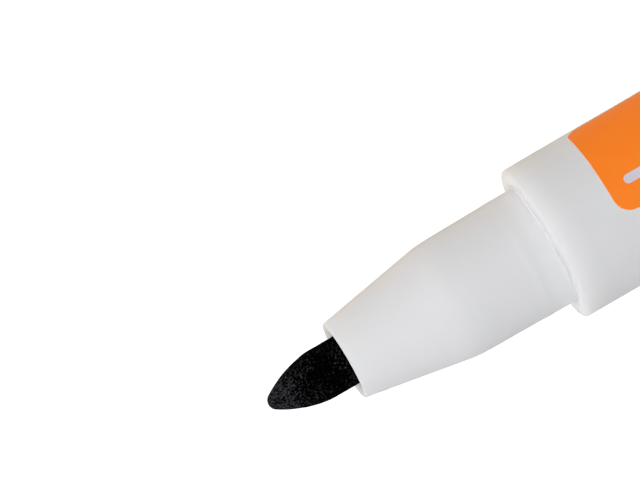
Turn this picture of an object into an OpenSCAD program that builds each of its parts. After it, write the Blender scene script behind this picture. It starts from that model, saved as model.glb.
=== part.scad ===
// Whiteboard marker, uncapped for writing, with its cap posted on the rear stub.
// It lies along X with the nib towards -X and rests on the plane z = 0.
// Every part is turned about its own axis, then laid along the marker's axis.
// Distances along the axis are counted from the tip of the nib. All sizes are in mm.

/* [Barrel] */
// Outside diameter of the barrel
barrel_d = 17.5; // [16.5:0.5:19]
// Length of the barrel, from its front face to its rear face
barrel_len = 88; // [84:1:100]
// Wall of the barrel around the reservoir
barrel_wall = 1.1; // [1:0.05:1.2]
// Radius of the barrel's rounded front edge
shoulder_edge_r = 0.45; // [0.4:0.05:1.2]

/* [Nose] */
// How far the nose stands out of the barrel
nose_len = 24; // [22:0.1:26]
// Length of the straight seat that the cap grips, back to the barrel
seat_len = 11.4; // [11:0.1:12.5]
// Diameter of the straight seat
seat_d = 13.24; // [13:0.02:13.3]
// Diameter of the nose at its front face, before the edge is rounded
nose_front_d = 8.8; // [8.5:0.05:9.1]
// Radius of the rounded front edge
nose_edge_r = 0.25; // [0.2:0.05:0.5]
// Depth of the dish in the nose's front face, round the nib
nose_dish = 0.3; // [0.1:0.05:0.5]

/* [Nib] */
// Diameter of the nib
nib_d = 5.58; // [5.2:0.02:5.6]
// How far the nib stands out of the nose
nib_out = 9; // [8.6:0.1:10]
// Length of the bullet point
point_len = 6.15; // [5.8:0.05:6.8]
// Radius of the rounded tip
tip_r = 1; // [0.8:0.05:1.1]
// Whole length of the nib
nib_len = 50; // [49:0.5:52]

/* [Reservoir] */
// Diameter of the ink-holding fibre bundle
core_d = 14.2; // [13.8:0.1:14.2]
// Length of the fibre bundle
core_len = 68; // [60:1:68]
// Thickness of the film wrapped round the bundle
film_t = 0.1; // [0.08:0.01:0.12]

/* [Label] */
// Thickness of the label film
label_t = 0.08; // [0.06:0.01:0.1]
// Distance from the barrel's front face to the label
label_gap = 7.4; // [6:0.1:10]
// Bare barrel left behind the label
label_rear_gap = 12.5; // [10:0.5:16]
// Angle that the label covers round the barrel
label_sweep = 90.4; // [80:0.2:100]
// Radius of the label's corners
label_corner_r = 1.9; // [1:0.1:3]

/* [Rear plug] */
// Thickness of the plug's flange
flange_t = 1.5; // [1.2:0.1:2]
// Length of the stub that holds the posted cap
stub_len = 10; // [9:0.5:10]
// Diameter of the stub
stub_d = 13.2; // [13:0.02:13.24]
// Length of the skirt inside the barrel
skirt_len = 8; // [7:0.5:8.5]

/* [Cap] */
// Length of the cap
cap_len = 42; // [41.5:0.5:45]
// Diameter of the cap's bore at the mouth
cap_bore_d = 13.5; // [13.46:0.02:13.56]
// Length of the six-sided collar at the mouth
collar_len = 7; // [5:0.5:8]
// Diameter across the collar's rounded corners
collar_corner_d = 19.2; // [18.8:0.1:19.6]
// Outside diameter behind the collar
cap_root_d = 16.7; // [16.4:0.1:17]
// Outside diameter at the closed end
cap_end_d = 15; // [14.8:0.1:15.4]
// Number of grip flutes
flute_count = 24; // [18:1:28]
// Depth of the grip flutes
flute_depth = 0.35; // [0.2:0.05:0.4]

/* [Hidden] */
$fn = 96;

WHITE = "#e6e7e8";
LABEL_ORANGE = "#ee7f2d";
FELT_BLACK = "#17181a";
FIBRE_INKED = "#2b2c31";
FILM_CLEAR = "#c9d2da";
CAP_BLACK = "#1b1c1e";
LINER_NATURAL = "#dfe3e2";

// Places along the axis
nose_front_at = nib_out;
barrel_at = nose_front_at + nose_len;
barrel_end = barrel_at + barrel_len;
cap_gap = 0.1;                     // play between the posted cap and the flange
cap_at = barrel_end + flange_t + cap_gap;
total_len = cap_at + cap_len;

// Radii
barrel_r = barrel_d / 2;
bore_r = barrel_r - barrel_wall;
seat_r = seat_d / 2;
nib_r = nib_d / 2;
core_r = core_d / 2;
stub_r = stub_d / 2;
cap_bore_r = cap_bore_d / 2;

// Snap-in of the nose in the barrel's front collar
spigot_r = 6.2;
spigot_len = 8;
spigot_play = 0.05;
neck_len = 8.6;                    // the barrel's thick front collar
snap_at = 5;
snap_h = 0.1;
snap_w = 1.2;

// Bead that the cap clicks over, on the nose and on the stub
bead_h = 0.05;
bead_w = 1.6;
bead_from_shoulder = 2.95;

// Nib holder inside the nose
nib_hole_r = nib_r + 0.12;
holder_r = 3.9;
holder_pocket_from = 9;
nose_wall = 1.1;
holder_web = 0.9;
land_blend_r = 13;                 // between the taper and the seat
root_fillet = 0.2;                 // where the seat meets the barrel

// Centring ribs in the barrel
rib_h = 0.3;
rib_w = 0.8;

flank_r = 13;                      // long flank of the nib's bullet point
nib_tail_cone = 3;
nib_tail_r = 1;

core_at = barrel_at + neck_len + 1.4;

// Inside of the cap
liner_at = 16;
liner_wall = 0.45;
liner_len = 21.4;
liner_r = 6.35;
liner_seat_r = liner_r + 0.05;
liner_step_at = 13;
cup_r = 4.2;
cup_at = 24.5;
cup_wall = 0.8;
liner_floor = 1.2;
fin_w = 0.8;
dish_r = 4.8;
dish_depth = 0.6;
flute_r = 0.75;

// Points of an arc, from angle a0 to a1 about [cx, cy]
function arc(cx, cy, r, a0, a1, n = 8) =
    [for (i = [0:n]) let (a = a0 + (a1 - a0) * i / n) [cx + r * cos(a), cy + r * sin(a)]];

// Lays a part that was turned about Z along the marker's axis
module lay(at) {
    translate([at - total_len / 2, 0, barrel_r])
        rotate([0, 90, 0])
            children();
}

// A low round ring on a shaft of radius r, centred at height z
function bead(r, z, h, w) =
    let (big = (w * w / 4 + h * h) / (2 * h), half = asin(w / 2 / big))
        arc(r + h - big, z, big, -half, half, 6);

module barrel() {
    collar_r = spigot_r + spigot_play;
    bore_from = neck_len + (bore_r - collar_r);
    rib_from = bore_from + 1;
    rib_len = barrel_len - rib_from - skirt_len - 1;
    color(WHITE)
        lay(barrel_at) {
            rotate_extrude()
                polygon(concat(
                    [[collar_r, 0]],
                    arc(barrel_r - shoulder_edge_r, shoulder_edge_r, shoulder_edge_r, -90, 0),
                    [[barrel_r, barrel_len - 0.3],
                     [barrel_r - 0.3, barrel_len],
                     [bore_r, barrel_len],
                     [bore_r, bore_from],
                     [collar_r, neck_len],
                     [collar_r, snap_at + snap_w],
                     [collar_r + snap_h, snap_at + snap_w * 0.75],
                     [collar_r + snap_h, snap_at - snap_w * 0.25],
                     [collar_r, snap_at - snap_w / 2]]));
            for (i = [0:5])
                rotate([0, 0, 30 + 60 * i])
                    translate([bore_r - rib_h, -rib_w / 2, rib_from])
                        cube([rib_h + barrel_wall / 2, rib_w, rib_len]);
        }
}

// Outline of the label as seen from straight above: its corners are round on the
// barrel, so across the barrel they follow the sine of the angle
module label_outline(len) {
    half = label_sweep / 2;
    r = label_corner_r;
    reach = r / barrel_r * 180 / PI;
    corner = [for (i = [0:10]) let (a = 9 * i)
        [r * (1 - cos(a)), barrel_r * sin(half - reach * (1 - sin(a)))]];
    front = [for (p = corner) [p[0], p[1]]];
    rear = [for (i = [10:-1:0]) [len - corner[i][0], corner[i][1]]];
    top = concat(front, rear);
    bottom = [for (i = [len(top) - 1:-1:0]) [top[i][0], -top[i][1]]];
    polygon(concat(top, bottom));
}

module label() {
    label_len = barrel_len - label_gap - label_rear_gap;
    label_x = barrel_at + label_gap - total_len / 2;
    color(LABEL_ORANGE)
        intersection() {
            lay(barrel_at + label_gap - 1)
                difference() {
                    cylinder(r = barrel_r + label_t, h = label_len + 2);
                    translate([0, 0, -1])
                        cylinder(r = barrel_r, h = label_len + 4);
                }
            translate([label_x, 0, barrel_r])
                linear_extrude(barrel_r + 1)
                    label_outline(label_len);
        }
}

module nose_cone() {
    slope = atan((seat_r - nose_front_d / 2) / (nose_len - seat_len));
    front_r = nose_front_d / 2;
    edge = nose_edge_r;
    taper_end = nose_len - seat_len;
    blend = land_blend_r * tan(slope / 2);
    bead_at = nose_len - bead_from_shoulder;
    pocket_r = spigot_r - nose_wall;
    lead_in = 0.2;
    color(WHITE)
        lay(nose_front_at)
            difference() {
                rotate_extrude()
                    polygon(concat(
                        [[0, nose_dish],
                         [nib_hole_r + lead_in, nose_dish]],
                        arc(front_r - edge, edge, edge, -90, -slope, 5),
                        arc(seat_r - land_blend_r, taper_end + blend, land_blend_r,
                            -slope, 0, 5),
                        bead(seat_r, bead_at, bead_h, bead_w),
                        arc(seat_r + root_fillet, nose_len - root_fillet, root_fillet,
                            180, 90, 5),
                        [[spigot_r, nose_len],
                         [spigot_r, nose_len + snap_at - snap_w / 2],
                         [spigot_r + snap_h, nose_len + snap_at],
                         [spigot_r, nose_len + snap_at + snap_w],
                         [spigot_r, nose_len + spigot_len - 0.4],
                         [spigot_r - 0.4, nose_len + spigot_len],
                         [0, nose_len + spigot_len]]));
                // Hole for the nib, with a lead-in at the bottom of the dish
                translate([0, 0, -1])
                    cylinder(r = nib_hole_r, h = nose_len + spigot_len + 2);
                translate([0, 0, nose_dish - 0.01])
                    cylinder(r1 = nib_hole_r + lead_in, r2 = nib_hole_r, h = lead_in);
                // Pocket round the nib holder, in four bays between webs
                difference() {
                    rotate_extrude()
                        polygon([[holder_r, holder_pocket_from + 2],
                                 [pocket_r - 0.9, holder_pocket_from + 2],
                                 [pocket_r, taper_end + 2],
                                 [pocket_r, nose_len + spigot_len + 1],
                                 [holder_r, nose_len + spigot_len + 1]]);
                    for (i = [0:3])
                        rotate([0, 0, 45 + 90 * i])
                            translate([0, -holder_web / 2, 0])
                                cube([pocket_r + 1, holder_web, nose_len + spigot_len - 2]);
                }
            }
}

// Half-section of the bullet point: a round tip that runs smoothly into a long flank,
// which meets the straight shank at [r, len]. The flank's centre is flank_r from that
// point and flank_r - tip_r from the tip's centre.
function point_curve(r, len) =
    let (
        reach = norm([r, len - tip_r]),
        corner = acos((pow(reach, 2) + pow(flank_r, 2) - pow(flank_r - tip_r, 2))
                      / (2 * reach * flank_r)),
        at_shank = corner - atan2(len - tip_r, r),
        cx = r - flank_r * cos(at_shank),
        cz = len + flank_r * sin(at_shank),
        at_tip = atan2(cz - tip_r, -cx),
        tip = arc(0, tip_r, tip_r, -90, -at_tip, 6),
        flank = arc(cx, cz, flank_r, -at_tip + 1.5, -at_shank, 10)
    )
        concat(tip, flank);

module nib() {
    color(FELT_BLACK)
        lay(0)
            rotate_extrude()
                polygon(concat(
                    point_curve(nib_r, point_len),
                    [[nib_r, nib_len - nib_tail_cone],
                     [nib_tail_r, nib_len],
                     [0, nib_len]]));
}

module reservoir_core() {
    socket = nib_len - core_at;
    color(FIBRE_INKED)
        lay(core_at)
            difference() {
                cylinder(r = core_r, h = core_len);
                // Dent that the nib's tail presses into the fibres
                translate([0, 0, -1])
                    cylinder(r = nib_r + 0.03, h = socket - nib_tail_cone + 1);
                translate([0, 0, socket - nib_tail_cone - 0.01])
                    cylinder(r1 = nib_r + 0.03, r2 = nib_tail_r + 0.03, h = nib_tail_cone + 0.1);
            }
}

module reservoir_film() {
    color(FILM_CLEAR)
        lay(core_at)
            difference() {
                cylinder(r = core_r + film_t, h = core_len);
                translate([0, 0, -1])
                    cylinder(r = core_r, h = core_len + 2);
            }
}

module end_plug() {
    skirt_r = bore_r - 0.1;
    hollow_r = stub_r - 1.1;
    ring_h = 0.07;
    color(CAP_BLACK)
        lay(barrel_end) {
            rotate_extrude()
                polygon(concat(
                    [[hollow_r, -skirt_len],
                     [skirt_r - 0.4, -skirt_len]],
                    [[skirt_r, -skirt_len + 0.8]],
                    bead(skirt_r, -skirt_len + 2.4, ring_h, 1),
                    bead(skirt_r, -skirt_len + 5, ring_h, 1),
                    [[skirt_r, 0],
                     [barrel_r - 0.2, 0],
                     [barrel_r, 0.2]],
                    arc(barrel_r - 0.4, flange_t - 0.4, 0.4, 0, 90, 4),
                    [[stub_r, flange_t]],
                    bead(stub_r, flange_t + bead_from_shoulder, bead_h, bead_w),
                    arc(stub_r - 1, flange_t + stub_len - 1, 1, 0, 90, 6),
                    [[0, flange_t + stub_len],
                     [0, flange_t + stub_len - 1.2],
                     [hollow_r, flange_t + stub_len - 1.2]]));
            // Cross of ribs that holds the reservoir forward
            for (i = [0:1])
                rotate([0, 0, 90 * i])
                    translate([-hollow_r - 0.2, -0.5, -skirt_len])
                        cube([2 * hollow_r + 0.4, 1, 6]);
        }
}

// Outside of the cap: a collar with six flats, so that the marker doesn't roll,
// then a tapering body
module cap_outside() {
    collar_r = collar_corner_d / 2;
    root_r = cap_root_d / 2;
    end_r = cap_end_d / 2;
    edge = 1.2;
    intersection() {
        // The flats are as far from the axis as the barrel's side
        rotate([0, 0, 30])
            cylinder(r = barrel_r / cos(30), h = cap_len, $fn = 6);
        rotate_extrude()
            polygon(concat(
                [[0, 0],
                 [collar_r - 1.2, 0],
                 [collar_r, 0.7],
                 [collar_r, collar_len - 1.4],
                 [root_r, collar_len]],
                arc(end_r - edge, cap_len - edge, edge, 0, 90, 6),
                [[0, cap_len]]));
    }
}

module cap_shell() {
    taper = atan((cap_root_d - cap_end_d) / 2 / (cap_len - collar_len));
    flute_len = cap_len - collar_len - 9;
    color(CAP_BLACK)
        lay(cap_at)
            difference() {
                cap_outside();
                // Bore, liner seat and the dished end
                rotate_extrude()
                    polygon([[0, -1],
                             [cap_bore_r + 1.3, -1],
                             [cap_bore_r, 0.3],
                             [cap_bore_r, liner_step_at],
                             [liner_seat_r, liner_step_at + 0.4],
                             [liner_seat_r, liner_at + liner_len + 0.1],
                             [0, liner_at + liner_len + 0.1]]);
                translate([0, 0, cap_len - dish_depth])
                    cylinder(r1 = dish_r, r2 = dish_r + dish_depth, h = dish_depth + 0.01);
                for (i = [0:flute_count - 1])
                    rotate([0, 0, 360 * (i + 0.5) / flute_count])
                        translate([cap_root_d / 2 + flute_r - flute_depth, 0, collar_len + 2])
                            rotate([0, -taper, 0])
                                flute(flute_len);
            }
}

module flute(len) {
    cylinder(r = flute_r, h = len, $fn = 24);
    sphere(r = flute_r, $fn = 24);
    translate([0, 0, len])
        sphere(r = flute_r, $fn = 24);
}

// Inner cup that closes round the nose when the cap is on the front, so that the
// nib stays wet. Fins centre it in the shell.
module cap_liner() {
    cup_z = cup_at - liner_at;
    cup_out = cup_r + cup_wall;
    color(LINER_NATURAL)
        lay(cap_at + liner_at) {
            rotate_extrude()
                polygon([[liner_r - liner_wall, 0],
                         [liner_r - 0.2, 0],
                         [liner_r, 0.3],
                         [liner_r, 3.4],
                         [cup_out + 0.45, cup_z - 1.2],
                         [cup_out, cup_z],
                         [cup_out, liner_len],
                         [0, liner_len],
                         [0, liner_len - liner_floor],
                         [cup_r, liner_len - liner_floor],
                         [cup_r, cup_z],
                         [cup_r + 0.45, cup_z - 1.2],
                         [cup_r + 1.15, 3.4]]);
            for (i = [0:3])
                rotate([0, 0, 90 * i])
                    translate([cup_out - 0.2, -fin_w / 2, cup_z + 2])
                        cube([liner_r - cup_out + 0.15, fin_w, liner_len - cup_z - 2]);
        }
}

barrel();
label();
nose_cone();
nib();
reservoir_core();
reservoir_film();
end_plug();
cap_shell();
cap_liner();
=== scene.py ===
import math

import bmesh
import bpy
from mathutils import Matrix, Vector, noise


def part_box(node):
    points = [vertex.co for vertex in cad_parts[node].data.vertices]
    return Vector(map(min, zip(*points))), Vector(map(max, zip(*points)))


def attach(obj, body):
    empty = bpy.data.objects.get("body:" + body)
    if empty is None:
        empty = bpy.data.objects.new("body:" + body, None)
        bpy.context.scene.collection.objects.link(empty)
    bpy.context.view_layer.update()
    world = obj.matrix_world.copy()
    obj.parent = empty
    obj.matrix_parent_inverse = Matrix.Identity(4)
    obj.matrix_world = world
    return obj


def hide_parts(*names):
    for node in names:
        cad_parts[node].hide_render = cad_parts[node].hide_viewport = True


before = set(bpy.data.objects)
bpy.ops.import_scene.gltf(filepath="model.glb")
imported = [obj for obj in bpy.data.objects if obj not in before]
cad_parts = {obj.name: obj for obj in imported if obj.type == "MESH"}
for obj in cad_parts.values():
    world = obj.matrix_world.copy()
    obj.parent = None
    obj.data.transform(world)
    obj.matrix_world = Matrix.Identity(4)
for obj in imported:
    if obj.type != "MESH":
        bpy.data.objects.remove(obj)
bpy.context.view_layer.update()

# A white dry-wipe marker lies on a pale floor, uncapped, with its cap posted on the
# rear. Its axis runs along X, nib towards -X, and the label faces +Z. Lengths are in
# metres; MM turns millimetres into metres. Angles round the axis are measured from
# +Z towards +Y.
MM = 0.001

barrel_low, barrel_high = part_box("barrel")
BARREL_FRONT, BARREL_REAR = barrel_low.x, barrel_high.x
BARREL_R = (barrel_high.z - barrel_low.z) / 2
AXIS_Z = (barrel_high.z + barrel_low.z) / 2
NOSE_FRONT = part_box("nose_cone")[0].x
NIB_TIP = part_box("nib")[0].x
LABEL_FRONT, LABEL_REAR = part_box("label")[0].x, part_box("label")[1].x
PLUG_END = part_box("end_plug")[1].x
CAP_MOUTH, CAP_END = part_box("cap_shell")[0].x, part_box("cap_shell")[1].x
LINER_FRONT, LINER_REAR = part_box("cap_liner")[0].x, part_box("cap_liner")[1].x

# Radii that pieces share, as in the CAD model
SPIGOT_HOLE_R = 6.25 * MM
BARREL_BORE_R = 7.65 * MM
NIB_R = (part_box("nib")[1].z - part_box("nib")[0].z) / 2
STUB_R = 6.6 * MM
CAP_BORE_R = 6.75 * MM
LINER_R = 6.35 * MM

# The label: half the angle that it covers, its corner radius and how proud it stands
LABEL_HALF = math.radians(90.4 / 2)
LABEL_CORNER = 1.9 * MM
FILM = 0.04 * MM

# The cap: its six-sided collar and the flutes behind it
COLLAR_LEN = 7 * MM
FLUTES = 24
FLUTE_DEPTH = 0.35 * MM

# The white plastic. Painted light and shade in its colour on both sides of the step from
# nose to barrel, over a short length: the barrel's face and the nose's end are painted paler
# to lift the shade in the corner between them, the barrel's rounded edge is a little darker
# to soften its highlight, and the skin just behind it is paler again as a painted glow:
# (part of the way towards +X, how much paler; below 1 is darker)
WHITE = (0.70, 0.703, 0.717)
BARREL_PAINTED_LIGHT_SHADE_LEN = 3.6 * MM
BARREL_PAINTED_LIGHT_SHADE = [(0.0, 1.25), (0.0083, 1.02), (0.02, 0.97), (0.04, 0.955), (0.09, 1.0),
               (0.17, 1.05), (0.3, 1.05), (0.6, 1.025), (1.0, 1.0)]
NOSE_PAINTED_LIGHT_LEN = 1.0 * MM
NOSE_PAINTED_LIGHT = [(0.0, 1.0), (0.4, 1.01), (0.7, 1.04), (0.85, 1.13), (1.0, 1.4)]

# How densely the felt's pale fibres show, from the nib's tip (0) to the nose (1)
FELT_WEAR = [(0.0, 0.182), (0.2, 0.182), (0.3, 0.126), (0.4, 0.081), (0.5, 0.055),
             (0.75, 0.027), (0.85, 0.030), (1.0, 0.045)]

# The tent's light by direction, from straight behind the rear end (0) to straight
# ahead of the nib (1); its gain; how much stronger it is from the near side than on
# average; and the tint of the light that comes low from the far side
TENT = [(0.0, 0.1), (0.25, 0.12), (0.4, 0.36), (0.5, 0.60), (0.6, 0.88), (0.7, 1.0),
        (0.85, 0.81), (1.0, 0.50)]
TENT_GAIN = 1.30
SIDE = 0.24
NEAR_SIDE = (-0.18, -0.80, 0.57)
WARM = (1.6, 1.27, 0.92)
LOW_FAR_SIDE = (0, 0.97, -0.24)
KEY_POWER = 0.98
KEY_FROM = (-0.30, -0.45, 0.84)
FLOOR_GLOW = 0.92


# ---------------------------------------------------------------- outlines

def arc(x, r, radius, start, stop, steps=10):
    """Points (x, r) on an arc about (x, r), from angle start to stop in degrees."""
    angles = [math.radians(start + (stop - start) * i / steps) for i in range(steps + 1)]
    return [(x + radius * math.cos(a), r + radius * math.sin(a)) for a in angles]


def run(start, stop, step):
    """Evenly spaced points from start up to, but not including, stop."""
    count = max(1, round(math.dist(start, stop) / step))
    return [
        tuple(s + (e - s) * i / count for s, e in zip(start, stop)) for i in range(count)
    ]


def stations(start, stop, step):
    """Evenly spaced places along the axis from start up to, but not including, stop."""
    return [x for x, _ in run((start, 0), (stop, 0), step)]


def smooth_step(low, high, value):
    t = min(1.0, max(0.0, (value - low) / (high - low)))
    return t * t * (3 - 2 * t)


# ---------------------------------------------------------------- meshes

def on_axis_ring(x, r, angle):
    """The point at radius r and angle round the marker's axis."""
    return Vector((x, r * math.sin(angle), AXIS_Z + r * math.cos(angle)))


def finish_mesh(bm, name, sharp_angle=40):
    """Turns bm into an object whose faces are smooth but for edges over sharp_angle."""
    bmesh.ops.recalc_face_normals(bm, faces=bm.faces)
    limit = math.radians(sharp_angle)
    for face in bm.faces:
        face.smooth = True
    for edge in bm.edges:
        if edge.is_manifold and edge.calc_face_angle(0) > limit:
            edge.smooth = False
    mesh = bpy.data.meshes.new(name)
    bm.to_mesh(mesh)
    bm.free()
    obj = bpy.data.objects.new(name, mesh)
    bpy.context.scene.collection.objects.link(obj)
    return obj


def turned(name, outline, segments=192, shape=None, closed=True):
    """A solid turned about the marker's axis from an outline of (x, r) points. Points
    with r = 0 are poles. shape(i, x, r, angle) may give another (x, r)."""
    bm = bmesh.new()
    rings = []
    for i, (x, r) in enumerate(outline):
        if r < 1e-9:
            rings.append([bm.verts.new(on_axis_ring(x, 0, 0))])
            continue
        ring = []
        for k in range(segments):
            angle = 2 * math.pi * k / segments
            px, pr = shape(i, x, r, angle) if shape else (x, r)
            ring.append(bm.verts.new(on_axis_ring(px, pr, angle)))
        rings.append(ring)
    pairs = list(zip(rings, rings[1:]))
    if closed:
        pairs.append((rings[-1], rings[0]))
    for a, b in pairs:
        for k in range(segments):
            n = (k + 1) % segments
            corners = [a[k % len(a)], a[n % len(a)], b[n % len(b)], b[k % len(b)]]
            unique = list(dict.fromkeys(corners))
            if len(unique) > 2:
                bm.faces.new(unique)
    return finish_mesh(bm, name)


def row_on_barrel(bm, x, lift, middle, half, columns):
    """Vertices across the barrel at x, lift above its skin; the row's middle and half
    width are angles."""
    return [bm.verts.new(on_axis_ring(x, BARREL_R + lift,
                                      middle + half * (2 * k / columns - 1)))
            for k in range(columns + 1)]


def layered_sheet(bm, name, layers):
    """A closed thin sheet from its layers, bottom to top. Each is a grid of vertices,
    and only the edges of the layers between them show."""

    def rim(grid):
        last = len(grid) - 1
        return (grid[0] + [row[-1] for row in grid[1:last]] + grid[last][::-1]
                + [row[0] for row in grid[last - 1:0:-1]])

    for outer, inner in zip(layers, layers[1:]):
        a, b = rim(outer), rim(inner)
        for k in range(len(a)):
            n = (k + 1) % len(a)
            bm.faces.new((a[k], a[n], b[n], b[k]))
    for grid in (layers[0], layers[-1]):
        for row, after in zip(grid, grid[1:]):
            for k in range(len(row) - 1):
                bm.faces.new((row[k], row[k + 1], after[k + 1], after[k]))
    loose = [v for grid in layers[1:-1] for v in sum(grid, []) if not v.link_faces]
    bmesh.ops.delete(bm, geom=loose, context="VERTS")
    return finish_mesh(bm, name, sharp_angle=60)


# ---------------------------------------------------------------- materials

def new_material(name):
    material = bpy.data.materials.new(name)
    material.use_nodes = True
    nodes = material.node_tree.nodes
    return material, nodes, material.node_tree.links, nodes["Principled BSDF"]


def object_noise(nodes, links, scale, detail=4.0, roughness=0.5, squeeze=None):
    """A noise texture on the object's own coordinates; squeeze scales the axes."""
    where = nodes.new("ShaderNodeTexCoord")
    texture = nodes.new("ShaderNodeTexNoise")
    texture.inputs["Scale"].default_value = scale
    texture.inputs["Detail"].default_value = detail
    texture.inputs["Roughness"].default_value = roughness
    source = where.outputs["Object"]
    if squeeze:
        mapping = nodes.new("ShaderNodeMapping")
        mapping.inputs["Scale"].default_value = squeeze
        links.new(source, mapping.inputs["Vector"])
        source = mapping.outputs["Vector"]
    links.new(source, texture.inputs["Vector"])
    return texture.outputs["Fac"]


def along_axis(nodes, links, start, end):
    """How far a point of the surface is from start (0) to end (1) along X."""
    where = nodes.new("ShaderNodeTexCoord")
    axes = nodes.new("ShaderNodeSeparateXYZ")
    links.new(where.outputs["Object"], axes.inputs["Vector"])
    along = nodes.new("ShaderNodeMapRange")
    along.inputs["From Min"].default_value = start
    along.inputs["From Max"].default_value = end
    links.new(axes.outputs["X"], along.inputs["Value"])
    return along.outputs["Result"]


def ramp(nodes, links, source, stops):
    """A colour ramp over source; stops are (position, grey or colour)."""
    node = nodes.new("ShaderNodeValToRGB")
    elements = node.color_ramp.elements
    while len(elements) < len(stops):
        elements.new(0.5)
    for element, (position, value) in zip(elements, stops):
        element.position = position
        colour = value if isinstance(value, tuple) else (value, value, value)
        element.color = (*colour, 1)
    links.new(source, node.inputs["Fac"])
    return node.outputs["Color"]


def bump(nodes, links, source, shader, distance):
    node = nodes.new("ShaderNodeBump")
    node.inputs["Distance"].default_value = distance
    links.new(source, node.inputs["Height"])
    links.new(node.outputs["Normal"], shader.inputs["Normal"])


def painted_shading_along(nodes, links, tone, start, end, stops):
    """tone times the value of stops, from start to end along X: painted light and shade in
    the colour. The ramp carries half of each value, because some are over 1, and the
    product is doubled again."""
    halved = [(place, value / 2) for place, value in stops]
    factor = ramp(nodes, links, along_axis(nodes, links, start, end), halved)
    product = nodes.new("ShaderNodeVectorMath")
    product.operation = "MULTIPLY"
    links.new(tone, product.inputs[0])
    links.new(factor, product.inputs[1])
    doubled = nodes.new("ShaderNodeVectorMath")
    doubled.operation = "SCALE"
    doubled.inputs["Scale"].default_value = 2.0
    links.new(product.outputs["Vector"], doubled.inputs[0])
    return doubled.outputs["Vector"]


def moulded_plastic(name, colour, rough=(0.46, 0.54), scatter=0.0, grain=0.004 * MM,
                    glow=None, gloss_level=0.5):
    """Satin injection-moulded plastic: slow colour drift, fine grain, uneven gloss.
    glow is (start, end, stops) of painted light and shade for painted_shading_along."""
    material, nodes, links, shader = new_material(name)
    drift = object_noise(nodes, links, scale=90, detail=3)
    darker = tuple(c * 0.975 for c in colour)
    tone = ramp(nodes, links, drift, [(0.3, darker), (0.7, colour)])
    # Painted light and shade: the colour is made paler or darker along X
    if glow:
        tone = painted_shading_along(nodes, links, tone, *glow)
    links.new(tone, shader.inputs["Base Color"])
    gloss = object_noise(nodes, links, scale=260, detail=5, roughness=0.6)
    links.new(ramp(nodes, links, gloss, [(0.3, rough[0]), (0.7, rough[1])]),
              shader.inputs["Roughness"])
    shader.inputs["IOR"].default_value = 1.49
    shader.inputs["Specular IOR Level"].default_value = gloss_level
    if scatter:
        shader.inputs["Subsurface Weight"].default_value = scatter
        shader.inputs["Subsurface Radius"].default_value = (1.0, 0.95, 0.9)
        shader.inputs["Subsurface Scale"].default_value = 3 * MM
        shader.subsurface_method = "BURLEY"
    bump(nodes, links, object_noise(nodes, links, scale=5200, detail=3), shader, grain)
    return material


def label_film():
    """Orange print on a thin film with a soft gloss and a screen print's faint mottle."""
    material, nodes, links, shader = new_material("label_film")
    mottle = object_noise(nodes, links, scale=420, detail=6, roughness=0.65)
    links.new(ramp(nodes, links, mottle,
                   [(0.25, (0.99, 0.219, 0.015)), (0.75, (1.0, 0.239, 0.017))]),
              shader.inputs["Base Color"])
    gloss = object_noise(nodes, links, scale=700, detail=3)
    links.new(ramp(nodes, links, gloss, [(0.3, 0.30), (0.7, 0.38)]),
              shader.inputs["Roughness"])
    shader.inputs["Specular IOR Level"].default_value = 0.12
    orange_peel = object_noise(nodes, links, scale=2400, detail=2)
    bump(nodes, links, orange_peel, shader, 0.003 * MM)
    return material


def label_print():
    """The pale grey ink of the label's pictogram."""
    material, nodes, links, shader = new_material("label_print")
    mottle = object_noise(nodes, links, scale=900, detail=5)
    links.new(ramp(nodes, links, mottle,
                   [(0.3, (0.60, 0.56, 0.64)), (0.7, (0.65, 0.61, 0.69))]),
              shader.inputs["Base Color"])
    shader.inputs["Roughness"].default_value = 0.4
    ink_grain = object_noise(nodes, links, scale=3000, detail=2)
    bump(nodes, links, ink_grain, shader, 0.003 * MM)
    return material


def felt(name):
    """Ink-soaked polyester felt: black, with the pale ends of single fibres. They
    stand close together on the worn point and are rare near the nose."""
    material, nodes, links, shader = new_material(name)
    worn = ramp(nodes, links, along_axis(nodes, links, NIB_TIP, NOSE_FRONT), FELT_WEAR)
    grain = object_noise(nodes, links, scale=4600, detail=2, roughness=0.6)
    patches = object_noise(nodes, links, scale=500, detail=2)
    patchy = nodes.new("ShaderNodeMath")
    patchy.operation = "MULTIPLY_ADD"
    patchy.inputs[1].default_value = 0.25
    links.new(patches, patchy.inputs[0])
    links.new(grain, patchy.inputs[2])
    dense = nodes.new("ShaderNodeMath")
    dense.operation = "ADD"
    links.new(patchy.outputs[0], dense.inputs[0])
    links.new(worn, dense.inputs[1])
    ink, soaked = (0.0003, 0.0003, 0.0004), (0.0055, 0.0057, 0.0063)
    fibre_end = (0.040, 0.041, 0.046)
    links.new(ramp(nodes, links, dense.outputs[0],
                   [(0.70, ink), (0.77, soaked), (0.93, fibre_end)]),
              shader.inputs["Base Color"])
    shader.inputs["Roughness"].default_value = 0.9
    shader.inputs["Specular IOR Level"].default_value = 0.005
    fibres = object_noise(nodes, links, scale=7000, detail=4)
    bump(nodes, links, fibres, shader, 0.03 * MM)
    return material


def clear_film():
    """The reservoir's clear wrap."""
    material, nodes, links, shader = new_material("clear_film")
    crinkle = object_noise(nodes, links, scale=300, detail=4, squeeze=(0.15, 1, 1))
    links.new(ramp(nodes, links, crinkle, [(0.35, 0.10), (0.65, 0.22)]),
              shader.inputs["Roughness"])
    shader.inputs["Base Color"].default_value = (0.80, 0.84, 0.88, 1)
    shader.inputs["Alpha"].default_value = 0.35
    bump(nodes, links, crinkle, shader, 0.02 * MM)
    return material


def paint(obj, material):
    obj.data.materials.clear()
    obj.data.materials.append(material)


# ---------------------------------------------------------------- barrel and nose

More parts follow.
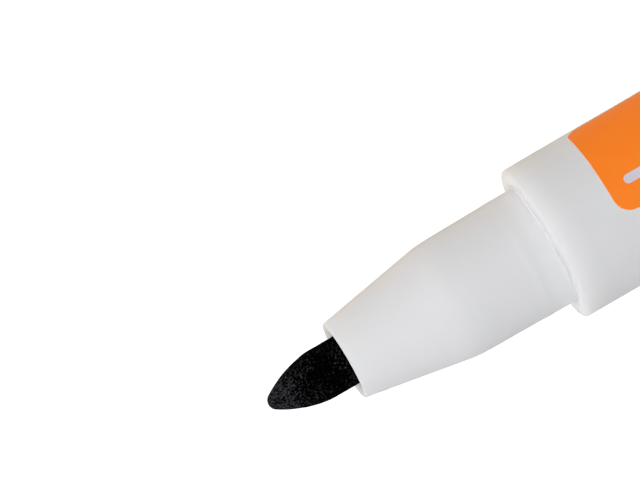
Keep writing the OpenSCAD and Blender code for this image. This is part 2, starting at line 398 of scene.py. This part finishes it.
def barrel_outline():
    """From the front collar's hole, out over the face with its slight draft and the
    rounded edge, back along the skin, which eases in a little towards the front, and
    home through the bore."""
    front, rear = BARREL_FRONT, BARREL_REAR
    edge_r, draft, flat_r = 0.42 * MM, 0.03 * MM, 6.85 * MM
    ease, ease_len = 0.04 * MM, 1.0 * MM
    eased_to = front + 6 * MM
    lip = 0.3 * MM
    lip_x, lip_r = rear - lip, BARREL_R - lip
    plain_to = lip_x - 0.4 * MM
    bore_edge = 0.05 * MM
    collar_back, bore_front = front + 8.6 * MM, front + 10 * MM

    def skin(x):
        return BARREL_R - ease * math.exp(-(x - front) / ease_len)

    crown_x = front + draft + edge_r
    crown = arc(crown_x, skin(crown_x) - edge_r, edge_r, 180, 90, 14)
    points = run((front, SPIGOT_HOLE_R), (front, flat_r), 0.2 * MM)
    points += run((front, flat_r), crown[0], 0.1 * MM)
    points += crown
    points += [(x, skin(x)) for x in stations(crown_x, eased_to, 0.15 * MM)[1:]]
    points += run((eased_to, BARREL_R), (plain_to, BARREL_R), 1.5 * MM)
    points += run((plain_to, BARREL_R), (lip_x, BARREL_R), 0.2 * MM)
    points += arc(lip_x, lip_r, lip, 90, 0, 6)
    points += [(rear, BARREL_BORE_R + bore_edge), (rear - bore_edge, BARREL_BORE_R)]
    points += [(bore_front, BARREL_BORE_R), (collar_back, SPIGOT_HOLE_R)]
    return points


def make_barrel():
    barrel = turned("barrel_shell", barrel_outline(), segments=224)
    # Painted light and shade on the barrel's face and rounded edge beside the nose
    glow = (BARREL_FRONT, BARREL_FRONT + BARREL_PAINTED_LIGHT_SHADE_LEN, BARREL_PAINTED_LIGHT_SHADE)
    paint(barrel, moulded_plastic("barrel_plastic", WHITE, scatter=1.0, glow=glow))
    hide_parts("barrel")
    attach(barrel, "marker")


def nose_outline():
    """From the nib's hole, over the dished front and its rim, up the taper and along
    the seat, which widens a little towards the barrel, carries the cap's bead and
    flares where it meets the barrel. The spigot is the stretch inside the barrel."""
    front, back = NOSE_FRONT, BARREL_FRONT
    hole_r, hole_edge = NIB_R + 0.10 * MM, 0.2 * MM
    rim, rim_r, dish = 0.25 * MM, 4.42 * MM, 0.3 * MM
    slope = math.radians(9.9)
    seat_front_r, seat_back_r = 6.57 * MM, 6.72 * MM
    bead_x, bead_len, bead = back - 2.95 * MM, 0.55 * MM, 0.035 * MM
    blend_r, blend_steps = 13 * MM, 8
    fillet = 0.2 * MM
    spigot_r, spigot_len = SPIGOT_HOLE_R - 0.05 * MM, 8 * MM
    tuck = 0.1 * MM

    taper_start = front + rim * (1 - math.sin(slope))
    corner_x = taper_start + (seat_front_r - rim_r) / math.tan(slope)
    bend = blend_r * math.tan(slope / 2)
    seat_from = corner_x + bend

    def seat_r(x):
        along = (x - corner_x) / (back - corner_x)
        swell = math.exp(-((x - bead_x) / bead_len) ** 2)
        return seat_front_r + (seat_back_r - seat_front_r) * along + bead * swell

    taper_end = (corner_x - bend * math.cos(slope), seat_front_r - bend * math.sin(slope))
    crest = (front, rim_r - rim * math.cos(slope))
    points = [(front + dish + hole_edge, hole_r)]
    points += [(front + dish + 0.3 * hole_edge, hole_r + 0.1 * hole_edge)]
    points += run((front + dish, hole_r + 0.5 * hole_edge), crest, 0.12 * MM)
    points += arc(front + rim, crest[1], rim, 180, 90 + math.degrees(slope), 10)
    points += run(points.pop(), taper_end, 0.35 * MM)
    for i in range(blend_steps + 1):
        a = slope * (1 - i / blend_steps)
        points.append((seat_from - blend_r * math.sin(a),
                       seat_front_r - blend_r * (1 - math.cos(a))))
    points += [(x, seat_r(x)) for x in stations(seat_from, back - fillet, 0.12 * MM)[1:]]
    foot_r = seat_r(back - fillet) + fillet
    points += arc(back - fillet, foot_r, fillet, -90, -12, 10)
    points += [(back + 0.3 * tuck, foot_r), (back + tuck, foot_r), (back + tuck, spigot_r)]
    points += [(back + spigot_len, spigot_r), (back + spigot_len, hole_r)]
    return points


def make_nose():
    nose = turned("nose_cone_shell", nose_outline(), segments=224)
    # Painted light on the nose's last millimetre, lifting the shade in the corner at the
    # barrel
    glow = (BARREL_FRONT - NOSE_PAINTED_LIGHT_LEN, BARREL_FRONT, NOSE_PAINTED_LIGHT)
    paint(nose, moulded_plastic("nose_plastic", WHITE, scatter=1.0, glow=glow))
    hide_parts("nose_cone")
    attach(nose, "marker")


# ---------------------------------------------------------------- nib

def nib_outline():
    """A round tip, a long flat curve, a short blend and the straight shank. Angles in
    degrees: the surface leans in by tip_lean where the tip ends and by shank_lean
    where the shank begins, and the curve stops a little short of both."""
    tip_r, flank_r = 1.0 * MM, 13 * MM
    tip_lean, shank_lean = 32.2, 5.5
    tip_gap, shank_gap = 1.5, 1
    shank_x, blend = NIB_TIP + 6.15 * MM, 0.25 * MM
    seen_to, buried_from = NOSE_FRONT + 1.5 * MM, NOSE_FRONT + 3 * MM
    end = NOSE_FRONT + 30 * MM
    tip = arc(NIB_TIP + tip_r, 0, tip_r, 180, 90 + tip_lean, 12)
    tip[0] = (NIB_TIP, 0)
    centre_x = shank_x + flank_r * math.sin(math.radians(shank_lean))
    centre_r = NIB_R - flank_r * math.cos(math.radians(shank_lean))
    flank = arc(centre_x, centre_r, flank_r, 90 + tip_lean - tip_gap,
                90 + shank_lean + shank_gap, 76)
    shank = run((shank_x + blend, NIB_R), (seen_to, NIB_R), 0.08 * MM)
    return tip + flank + shank + [(buried_from, NIB_R), (end, NIB_R), (end, 0)]


def make_nib():
    fine_scale, coarse_scale = 5200, 1500
    fine_lift, coarse_lift = 0.018 * MM, 0.022 * MM
    coarse_offset = Vector((3.1, 7.7, 1.3))

    def fuzz(i, x, r, angle):
        """Lifts the felt's surface unevenly, but not on the tip's pole nor inside the
        nose."""
        point = Vector((x, r * math.sin(angle), r * math.cos(angle)))
        fine = noise.noise(point * fine_scale)
        coarse = noise.noise(point * coarse_scale + coarse_offset)
        shown = 1 - smooth_step(NOSE_FRONT + 0.3 * MM, NOSE_FRONT + 1.2 * MM, x)
        lift = (fine_lift * fine + coarse_lift * coarse) * shown
        return x, r + lift * min(1, r / (0.5 * MM))

    nib = turned("nib_felt", nib_outline(), segments=288, shape=fuzz, closed=False)
    paint(nib, felt("nib_felt"))
    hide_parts("nib")
    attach(nib, "marker")


# ---------------------------------------------------------------- label

def label_half_angle(inset, x):
    """Half the angle that the label covers at x, with round corners, shrunk by inset."""
    corner = LABEL_CORNER - inset
    low, high = LABEL_FRONT + inset, LABEL_REAR - inset
    full = LABEL_HALF - inset / BARREL_R
    into = min(x - low, high - x)
    if into >= corner:
        return full
    drop = corner - math.sqrt(max(0.0, corner ** 2 - (corner - max(0.0, into)) ** 2))
    return full - drop / BARREL_R


def label_stations(inset):
    """Places along the label: close together round the corners, then even."""
    low, high = LABEL_FRONT + inset, LABEL_REAR - inset
    corner = LABEL_CORNER - inset
    turn = [corner * (1 - math.cos(math.radians(7.5 * i))) for i in range(13)]
    middle = stations(low + corner, high - corner, 0.8 * MM)[1:]
    return [low + t for t in turn] + middle + [high - t for t in reversed(turn)]


def make_label():
    """A thin film on the barrel with a softly rounded edge, closed underneath."""
    profile = [(0.0, -0.01 * MM), (0.0, 0.5 * FILM), (0.25 * FILM, 0.85 * FILM),
               (0.7 * FILM, FILM)]
    bm = bmesh.new()
    layers = [[row_on_barrel(bm, x, lift, 0, label_half_angle(inset, x), columns=72)
               for x in label_stations(inset)]
              for inset, lift in profile]
    label = layered_sheet(bm, "label_film", layers)
    # The film is too thin to shade the plastic beside it
    label.visible_shadow = False
    label.visible_diffuse = False
    paint(label, label_film())
    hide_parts("label")
    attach(label, "marker")


def printed(name, outline):
    """A raised print on the label: outline is (x, middle, half width) along it, across
    in metres of arc."""
    edge, top = 0.012 * MM, 0.02 * MM
    profile = [(0.0, 0.2 * FILM), (0.0, FILM + edge), (top, FILM + top)]
    bm = bmesh.new()
    layers = [[row_on_barrel(bm, x, lift, middle / BARREL_R,
                             max(0.0, half - inset) / BARREL_R, columns=14)
               for x, middle, half in outline]
              for inset, lift in profile]
    piece = layered_sheet(bm, name, layers)
    paint(piece, PRINT)
    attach(piece, "marker")


def make_pictogram():
    """A drawn line that ends in a bullet point: it shows the line that the nib makes."""
    middle = -3.8 * MM
    line_half = 0.5 * MM
    start, end = LABEL_FRONT + 2.0 * MM, LABEL_FRONT + 44 * MM
    turn = [math.radians(10 * i) for i in range(1, 10)]
    round_end = [(line_half * (1 - math.cos(a)), line_half * math.sin(a)) for a in turn]
    line = [(start + into, middle, half) for into, half in round_end]
    line += [(x, middle, line_half)
             for x in stations(start + line_half + 0.2 * MM, end - line_half, 1.0 * MM)]
    line += [(end - into, middle, half) for into, half in reversed(round_end)]
    printed("label_line", line)

    point, point_len, point_steps = end + 1.6 * MM, 6.5 * MM, 24
    body_len, body_steps = 3.0 * MM, 3
    bullet_half, bluntness = 2.0 * MM, 0.75
    bullet = []
    for i in range(1, point_steps + 1):
        t = i / point_steps
        bullet.append((point + point_len * t, middle,
                       bullet_half * math.sin(t * math.pi / 2) ** bluntness))
    bullet += [(point + point_len + body_len * i / body_steps, middle, bullet_half)
               for i in range(1, body_steps + 1)]
    printed("label_bullet", bullet)


# ---------------------------------------------------------------- rear plug

def end_plug_outline():
    """From the skirt's lead-in, along the skirt in the barrel, over the flange and
    along the stub with its snap bead to the dished end, and home through the inside."""
    joint, end = BARREL_REAR, PLUG_END
    skirt_front, skirt_from = joint - 8 * MM, joint - 7.2 * MM
    skirt_r = BARREL_BORE_R - 0.1 * MM
    lead_r, skirt_inner_r = skirt_r - 0.3 * MM, skirt_r - 0.8 * MM
    flange_x, face, flange_r = joint + 0.02 * MM, joint + 1.5 * MM, BARREL_R - 0.05 * MM
    back_edge, face_edge, face_r = 0.2 * MM, 0.4 * MM, BARREL_R - 0.5 * MM
    root, stub_from = 0.25 * MM, face + 0.35 * MM
    bead_x, bead_len, bead = face + 2.6 * MM, 0.35 * MM, 0.1 * MM
    end_edge = 1 * MM
    dish, dish_rim_r, dish_r = 0.3 * MM, 2.2 * MM, 1.9 * MM
    inner_r, inner_end, inner_front = STUB_R - 1.1 * MM, end - 1.2 * MM, joint - 6 * MM

    def stub_r(x):
        return STUB_R + bead * math.exp(-((x - bead_x) / bead_len) ** 2)

    points = [(skirt_front, skirt_inner_r), (skirt_front, lead_r)]
    points += run((skirt_from, skirt_r), (flange_x, skirt_r), 1 * MM)
    points += run((flange_x, skirt_r), (flange_x, flange_r - back_edge), 0.3 * MM)
    points += arc(flange_x + back_edge, flange_r - back_edge, back_edge, 180, 90, 5)
    points += arc(face - face_edge, flange_r - face_edge, face_edge, 90, 0, 8)
    points += run((face, face_r), (face, STUB_R + root), 0.3 * MM)
    points += arc(face + root, STUB_R + root, root, 180, 270, 6)
    points += [(x, stub_r(x)) for x in stations(stub_from, end - end_edge, 0.12 * MM)]
    points += arc(end - end_edge, STUB_R - end_edge, end_edge, 90, 0, 12)
    points += run((end, inner_r), (end, dish_rim_r), 0.5 * MM)
    points += [(end - dish, dish_r), (end - dish, 0.5 * MM), (end - dish, 0)]
    points += [(inner_end, 0), (inner_end, inner_r), (inner_front, inner_r)]
    return points


def make_end_plug():
    plug = turned("end_plug_shell", end_plug_outline())
    paint(plug, CAP_BLACK)
    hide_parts("end_plug")
    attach(plug, "marker")


# ---------------------------------------------------------------- cap

def smooth_min(a, b, blend):
    h = max(0.0, blend - abs(a - b)) / blend
    return min(a, b) - h * h * blend / 4


def cap_outer_r(x, angle, r):
    """The cap's surface at x: six flats on the collar, flutes on the body."""
    sixth, corner_blend = math.radians(60), 0.3 * MM
    off = (angle + sixth / 2) % sixth - sixth / 2
    r = smooth_min(r, BARREL_R / math.cos(off), corner_blend)
    flutes_from, flutes_to = CAP_MOUTH + COLLAR_LEN + 1.4 * MM, CAP_END - 6.0 * MM
    fade, land = 1.0 * MM, 0.25
    window = (smooth_step(flutes_from, flutes_from + fade, x)
              * (1 - smooth_step(flutes_to - fade, flutes_to, x)))
    groove = smooth_step(land, 1.0, math.cos(FLUTES * angle))
    return r - FLUTE_DEPTH * groove * window


def cap_bore_outline():
    """From the cap's floor, past the liner's seat and along the bore to the mouth."""
    floor_x, liner_seat_r = LINER_REAR + 0.1 * MM, LINER_R + 0.05 * MM
    bore_end, step_len = CAP_MOUTH + 13 * MM, 0.4 * MM
    points = [(floor_x, 0)]
    points += run((floor_x, 1 * MM), (floor_x, liner_seat_r), 1 * MM)
    points += run((floor_x, liner_seat_r), (bore_end + step_len, liner_seat_r), 2 * MM)
    points += run((bore_end + step_len, liner_seat_r), (bore_end, CAP_BORE_R), 0.3 * MM)
    points += run((bore_end, CAP_BORE_R), (CAP_MOUTH + 0.7 * MM, CAP_BORE_R), 1 * MM)
    return points


def cap_mouth_outline(edge_steps, corner_r):
    """The mouth's rounded inner edge and its flat rim."""
    edge, rim_from, rim_to = 0.5 * MM, CAP_BORE_R + 0.6 * MM, corner_r - 1.3 * MM
    points = arc(CAP_MOUTH + edge, CAP_BORE_R + edge, edge, -90, -180, edge_steps)
    return points + run((CAP_MOUTH, rim_from), (CAP_MOUTH, rim_to), 0.25 * MM)


def cap_skin_outline(corner_r):
    """The collar's chamfers, as its corners have them, the root behind it and the
    tapered body with its rounded end."""
    collar_end = CAP_MOUTH + COLLAR_LEN
    front_edge, front_r = 0.6 * MM, corner_r - 1.2 * MM
    crest_from, crest_to = (CAP_MOUTH + 0.9 * MM, corner_r), (collar_end - 1.5 * MM, corner_r)
    body_r, end_r, end_edge = 8.35 * MM, 7.5 * MM, 1.2 * MM
    chamfer_foot = (collar_end - 0.1 * MM, body_r + 0.1 * MM)
    root_x, root = collar_end + 0.4 * MM, 0.42 * MM
    body_from = (collar_end + 0.55 * MM, body_r - 0.01 * MM)
    body_to = (CAP_END - 1.6 * MM, end_r + 0.03 * MM)
    points = arc(CAP_MOUTH + front_edge, front_r, front_edge, 180, 138, 8)
    points += run(points[-1], crest_from, 0.06 * MM)[1:]
    points += run(crest_from, crest_to, 0.15 * MM)
    points += run(crest_to, chamfer_foot, 0.06 * MM)
    points += arc(root_x, body_r + root, root, 200, 272, 6)
    points += run(body_from, body_to, 0.3 * MM)
    points += arc(CAP_END - end_edge, end_r - end_edge, end_edge, 88, 0, 14)
    return points


def cap_end_outline():
    """The flat rim of the cap's end, its dish and the low gate mark in the middle."""
    end = CAP_END
    rim_from, rim_to, rim_edge = 6.2 * MM, 4.9 * MM, 0.15 * MM
    brink, brink_angle = 0.25 * MM, -7.5
    dish, gate, gate_r = 0.6 * MM, 0.4 * MM, 0.8 * MM
    points = run((end, rim_from), (end, rim_to), 0.3 * MM)
    points += arc(end - rim_edge, rim_to - rim_edge, rim_edge, 45, -45, 4)
    # The bevel inside the rim meets the dish's wall at a single point of this round
    points += arc(end - 0.35 * MM, 4.2 * MM, brink, brink_angle, 0, 1)[:1]
    points += run((end - 0.55 * MM, 4.1 * MM), (end - dish, gate_r + 0.2 * MM), 0.5 * MM)
    points += [(end - dish, gate_r + 0.15 * MM), (end - gate - 0.02 * MM, gate_r)]
    points += [(end - gate, gate_r / 2), (end - gate, 0)]
    return points


def make_cap_shell():
    edge_steps, corner_r = 8, 9.6 * MM
    bore, mouth = cap_bore_outline(), cap_mouth_outline(edge_steps, corner_r)
    skin = cap_skin_outline(corner_r)
    # The flats and flutes shape the skin and the mouth's rim outside its rounded edge
    shaped_from = len(bore) + edge_steps
    shaped_to = len(bore) + len(mouth) + len(skin)

    def shape(i, x, r, angle):
        if shaped_from <= i < shaped_to:
            return x, cap_outer_r(x, angle, r)
        return x, r

    shell = turned("cap_shell_moulding", bore + mouth + skin + cap_end_outline(),
                   segments=288, shape=shape, closed=False)
    paint(shell, CAP_BLACK)
    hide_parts("cap_shell")
    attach(shell, "cap")


def liner_outline():
    """From the cup's floor, along the cup and out through its two cones to the rim,
    then back along the outside."""
    front, back = LINER_FRONT, LINER_REAR
    cup_r, cup_x, wall = 4.2 * MM, front + 8.5 * MM, 0.8 * MM
    floor_x, floor_edge = back - 1.2 * MM, 0.5 * MM
    throat = (cup_x - 1.2 * MM, cup_r + 0.45 * MM)
    flare = (front + 3.4 * MM, cup_r + 1.15 * MM)
    rim_x, lip, lip_r = front + 0.2 * MM, 0.22 * MM, LINER_R - 0.25 * MM
    points = [(floor_x, 0), (floor_x, cup_r - floor_edge)]
    points += arc(floor_x - floor_edge, cup_r - floor_edge, floor_edge, 0, 90, 5)
    points += run((floor_x - 0.6 * MM, cup_r), (cup_x, cup_r), 2 * MM)
    points += run((cup_x, cup_r), throat, 0.3 * MM)
    points += run(throat, flare, 0.5 * MM)
    points += run(flare, (rim_x, lip_r - 0.25 * MM), 0.5 * MM)
    points += arc(rim_x, lip_r, lip, 230, 120, 8)
    points += run((rim_x + 0.3 * MM, LINER_R), (flare[0], LINER_R), 0.8 * MM)
    points += [(flare[0], LINER_R), (cup_x, cup_r + wall), (back, cup_r + wall), (back, 0)]
    return points


def make_cap_liner():
    liner = turned("cap_liner_cup", liner_outline(), segments=160, closed=False)
    paint(liner, moulded_plastic("liner_plastic", (0.70, 0.72, 0.71), scatter=0.4))
    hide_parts("cap_liner")
    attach(liner, "cap")


# ---------------------------------------------------------------- reservoir

def paint_reservoir():
    """The reservoir is shut inside the barrel, so its CAD shapes stay."""
    paint(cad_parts["reservoir_core"], felt("reservoir_fibre"))
    paint(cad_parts["reservoir_film"], clear_film())


# ---------------------------------------------------------------- stage

def make_floor():
    """A pale glowing table. It shows to the camera and takes faint shadows, but the
    light that reaches the marker from below comes through it from the tent of light."""
    bm = bmesh.new()
    half = 12.0
    bm.faces.new([bm.verts.new((x * half, y * half, 0))
                  for x, y in ((-1, -1), (1, -1), (1, 1), (-1, 1))])
    floor = finish_mesh(bm, "floor")
    floor.location.z = -0.01 * MM
    material, nodes, links, shader = new_material("floor_pale")
    speck = object_noise(nodes, links, scale=3, detail=2)
    links.new(ramp(nodes, links, speck, [(0.3, 0.34), (0.7, 0.36)]),
              shader.inputs["Base Color"])
    shader.inputs["Roughness"].default_value = 0.9
    shader.inputs["Specular IOR Level"].default_value = 0.1
    shader.inputs["Emission Color"].default_value = (1, 1, 1, 1)
    shader.inputs["Emission Strength"].default_value = FLOOR_GLOW
    paint(floor, material)
    floor.visible_diffuse = False
    floor.visible_glossy = False
    floor.visible_shadow = False


def make_key_light():
    """A round softbox above the near side, facing the shoulder."""
    diameter, distance = 1.0, 0.7
    data = bpy.data.lights.new("key", "AREA")
    data.shape = "DISK"
    data.size = diameter
    data.energy = KEY_POWER
    light = bpy.data.objects.new("key", data)
    bpy.context.scene.collection.objects.link(light)
    back = Vector(KEY_FROM).normalized()
    light.location = Vector((BARREL_FRONT, 0, AXIS_Z)) + back * distance
    light.rotation_mode = "QUATERNION"
    light.rotation_quaternion = back.to_track_quat("Z", "Y")
    light.visible_camera = False


def make_tent():
    """Light from all round: brightest beside and ahead of the marker, weak from behind
    its rear end, stronger from the camera's side, and warm and strong low on the far
    side. The camera sees plain white behind the floor."""
    world = bpy.data.worlds.new("light_tent")
    bpy.context.scene.world = world
    world.use_nodes = True
    nodes, links = world.node_tree.nodes, world.node_tree.links
    background = nodes["Background"]
    where = nodes.new("ShaderNodeTexCoord")

    def towards(direction, low, high, start, end):
        """How far a ray points towards direction, mapped from start to end."""
        dot = nodes.new("ShaderNodeVectorMath")
        dot.operation = "DOT_PRODUCT"
        dot.inputs[1].default_value = direction
        links.new(where.outputs["Generated"], dot.inputs[0])
        mapped = nodes.new("ShaderNodeMapRange")
        for key, value in (("From Min", low), ("From Max", high), ("To Min", start),
                           ("To Max", end)):
            mapped.inputs[key].default_value = value
        links.new(dot.outputs["Value"], mapped.inputs["Value"])
        return mapped.outputs["Result"]

    glow = ramp(nodes, links, towards((-1, 0, 0), -1, 1, 0, 1), TENT)
    side = towards(NEAR_SIDE, -1, 1, TENT_GAIN * (1 - SIDE), TENT_GAIN * (1 + SIDE))
    tint = nodes.new("ShaderNodeMix")
    tint.data_type = "RGBA"
    tint.blend_type = "MULTIPLY"
    tint.inputs["B"].default_value = (*WARM, 1)
    links.new(towards(LOW_FAR_SIDE, 0.55, 0.95, 0, 1), tint.inputs["Factor"])
    links.new(glow, tint.inputs["A"])
    scaled = nodes.new("ShaderNodeVectorMath")
    scaled.operation = "SCALE"
    links.new(tint.outputs["Result"], scaled.inputs[0])
    links.new(side, scaled.inputs["Scale"])
    path = nodes.new("ShaderNodeLightPath")
    seen = nodes.new("ShaderNodeMix")
    seen.data_type = "RGBA"
    seen.inputs["B"].default_value = (1, 1, 1, 1)
    links.new(path.outputs["Is Camera Ray"], seen.inputs["Factor"])
    links.new(scaled.outputs["Vector"], seen.inputs["A"])
    links.new(seen.outputs["Result"], background.inputs["Color"])


def make_camera():
    """The camera looks down on the nose from the -Y side, a little from the front, and
    is rolled so that the marker rises to the right."""
    tilt, roll, around = math.radians(6.5), math.radians(30.16), math.radians(35.3)
    distance = 0.8
    frame_width = 66.2 * MM
    shoulder_right, shoulder_down = 23.05 * MM, 0.50 * MM
    back = Vector((-math.sin(tilt), -math.sin(around) * math.cos(tilt),
                   math.cos(around) * math.cos(tilt)))
    along = Vector((1, 0, 0))
    along = (along - along.dot(back) * back).normalized()
    across = back.cross(along)
    right = math.cos(roll) * along - math.sin(roll) * across
    up = math.sin(roll) * along + math.cos(roll) * across
    data = bpy.data.cameras.new("camera")
    data.sensor_width = 36
    data.lens = data.sensor_width * distance / frame_width
    data.clip_start, data.clip_end = 0.05, 50
    camera = bpy.data.objects.new("camera", data)
    bpy.context.scene.collection.objects.link(camera)
    shoulder = Vector((BARREL_FRONT, 0, AXIS_Z))
    camera.location = (shoulder + back * distance - right * shoulder_right
                       + up * shoulder_down)
    camera.rotation_mode = "QUATERNION"
    camera.rotation_quaternion = Matrix((right, up, back)).transposed().to_quaternion()
    bpy.context.scene.camera = camera


# ---------------------------------------------------------------- the marker

PRINT = label_print()
CAP_BLACK = moulded_plastic("cap_plastic", (0.009, 0.009, 0.011), rough=(0.26, 0.36),
                            grain=0.003 * MM, gloss_level=0.4)

make_barrel()
make_nose()
make_nib()
make_label()
make_pictogram()
make_end_plug()
make_cap_shell()
make_cap_liner()
paint_reservoir()
make_floor()
make_tent()
make_key_light()
make_camera()
bpy.context.scene.view_settings.view_transform = "Standard"
